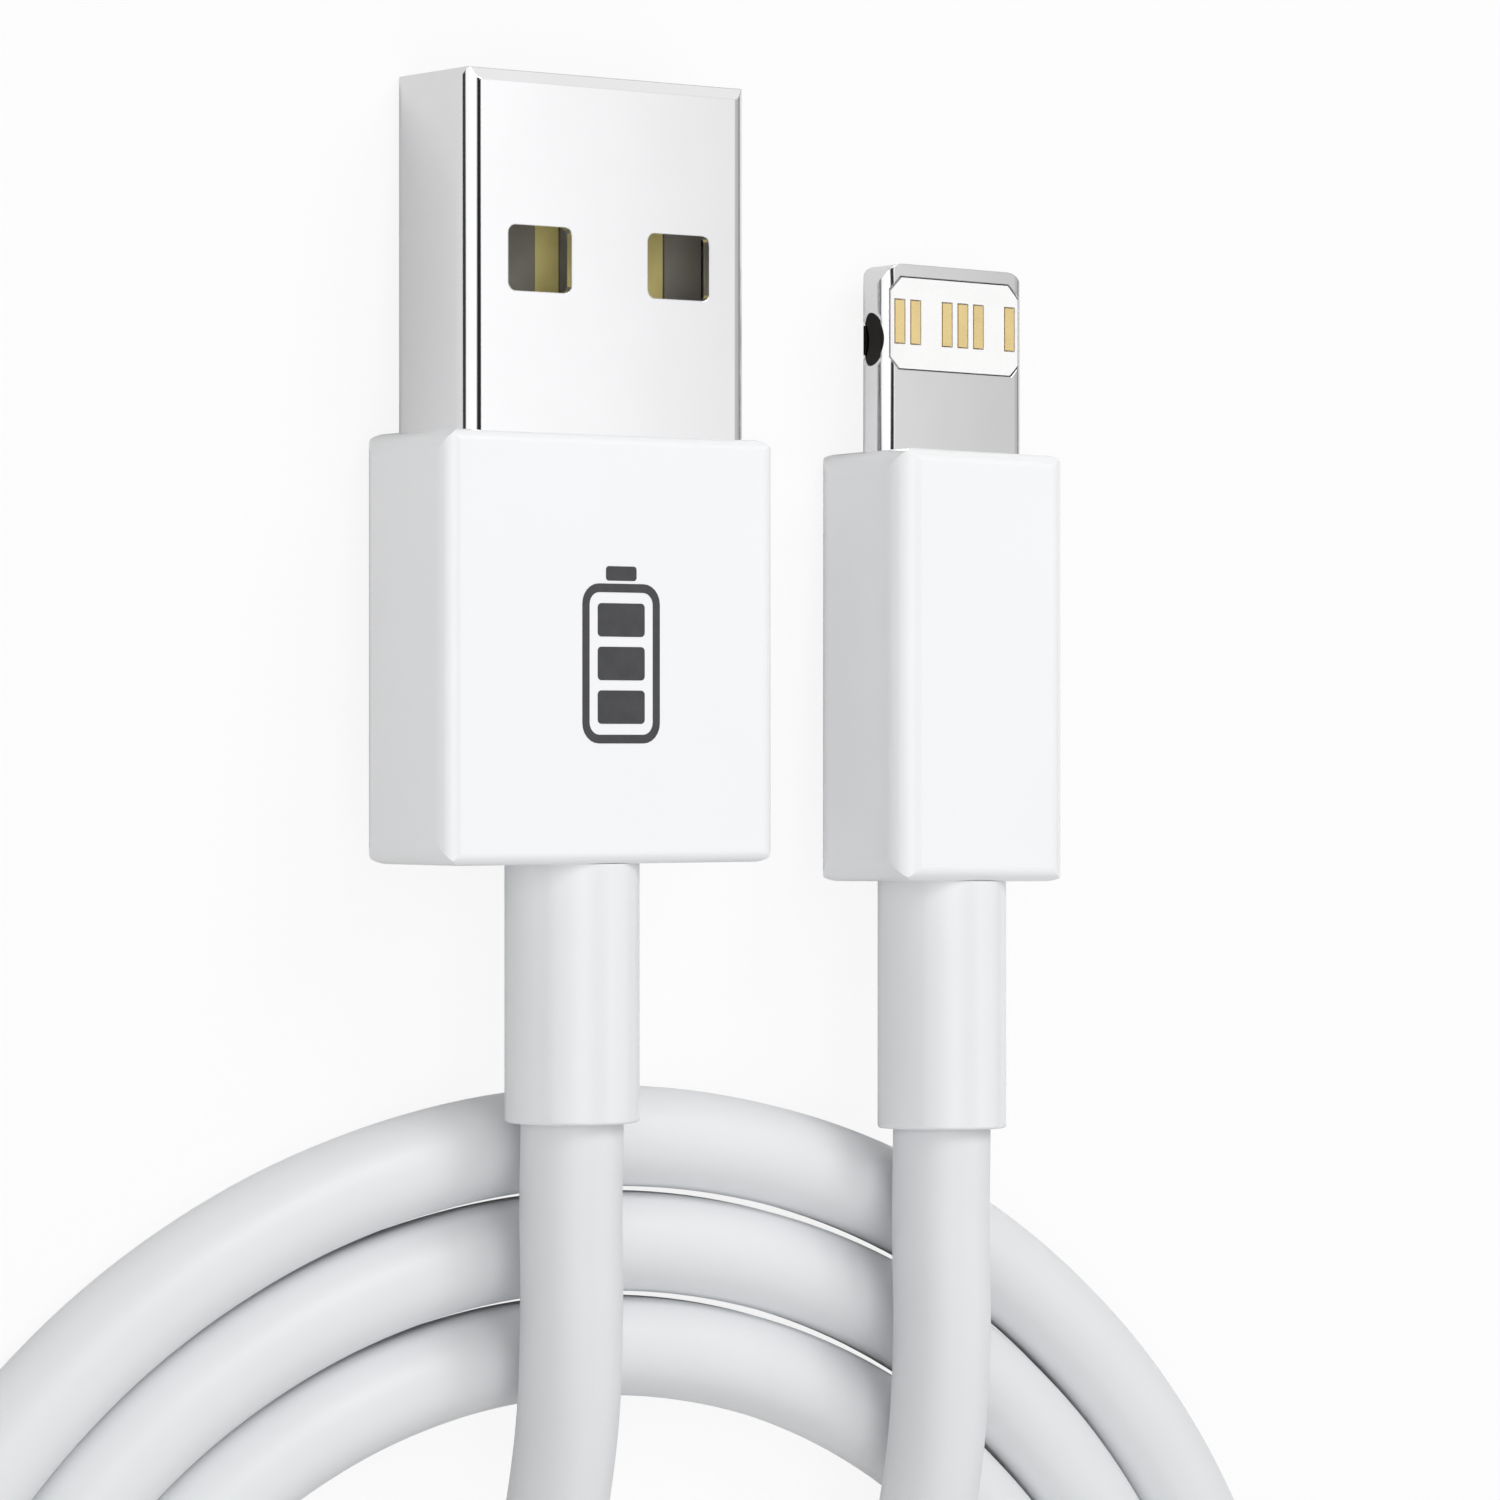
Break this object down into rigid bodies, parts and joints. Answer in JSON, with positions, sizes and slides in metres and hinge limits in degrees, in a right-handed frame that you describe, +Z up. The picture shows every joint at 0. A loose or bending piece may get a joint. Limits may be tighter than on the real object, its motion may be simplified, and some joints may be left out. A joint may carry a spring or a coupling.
{
  "type": "charging cable",
  "caption": "Charging cable with a USB-A plug and a slim reversible tab plug on a thin round white cord, lying in a flat oval coil",
  "frame": {"origin": "on the surface that the cable lies on, under the middle of the two plugs' bounding box, without the free cord", "axes": "+Z up from the surface, +Y along the plugs towards their tips, +X to the right seen from above, from the USB plug to the tab plug"},
  "size_m": [0.068, 0.0955, 0.0079],
  "materials": {
    "cord_jacket": "smooth soft plastic, satin",
    "housing_plastic": "polished white",
    "shell_steel": "bright nickel plated, satin",
    "tab_steel": "satin",
    "insert_plastic": "white, smooth",
    "tongue_plastic": "black, moulded",
    "contact_gold": "gold plated",
    "tinned_steel": "tin plated sheet",
    "inner_mould": "soft, slightly grey",
    "wire_red": "insulation",
    "wire_white": "insulation",
    "wire_green": "insulation",
    "wire_black": "insulation",
    "board": "green solder mask",
    "chip_black": "moulded package",
    "capacitor": "ceramic with tinned ends"
  },
  "bodies": {
    "root": {"usb_shell": "shell_steel", "usb_tongue": "tongue_plastic", "usb_contact_vbus": "contact_gold", "usb_contact_dminus": "contact_gold", "usb_contact_dplus": "contact_gold", "usb_contact_gnd": "contact_gold", "usb_wire_red": "wire_red", "usb_wire_white": "wire_white", "usb_wire_green": "wire_green", "usb_wire_black": "wire_black", "usb_jacket_end": "cord_jacket", "usb_crimp_ring": "tinned_steel", "usb_inner_mould": "inner_mould", "usb_housing": "housing_plastic", "usb_strain_relief": "housing_plastic", "phone_tab_frame": "tab_steel", "phone_tab_insert": "insert_plastic", "phone_pad_front_1": "contact_gold", "phone_pad_front_2": "contact_gold", "phone_pad_front_4": "contact_gold", "phone_pad_front_5": "contact_gold", "phone_pad_front_6": "contact_gold", "phone_pad_front_8": "contact_gold", "phone_pad_back_1": "contact_gold", "phone_pad_back_2": "contact_gold", "phone_pad_back_4": "contact_gold", "phone_pad_back_5": "contact_gold", "phone_pad_back_6": "contact_gold", "phone_pad_back_8": "contact_gold", "phone_board": "board", "phone_id_chip": "chip_black", "phone_power_chip": "chip_black", "phone_capacitor_1": "capacitor", "phone_capacitor_2": "capacitor", "phone_capacitor_3": "capacitor", "phone_shield_front": "tinned_steel", "phone_shield_back": "tinned_steel", "phone_wire_red": "wire_red", "phone_wire_white": "wire_white", "phone_wire_green": "wire_green", "phone_wire_black": "wire_black", "phone_jacket_end": "cord_jacket", "phone_crimp_ring": "tinned_steel", "phone_inner_mould": "inner_mould", "phone_housing": "housing_plastic", "phone_strain_relief": "housing_plastic", "cord_usb_run": "cord_jacket", "cord_phone_run": "cord_jacket", "cord_coil": "cord_jacket"}
  },
  "joints": []
}
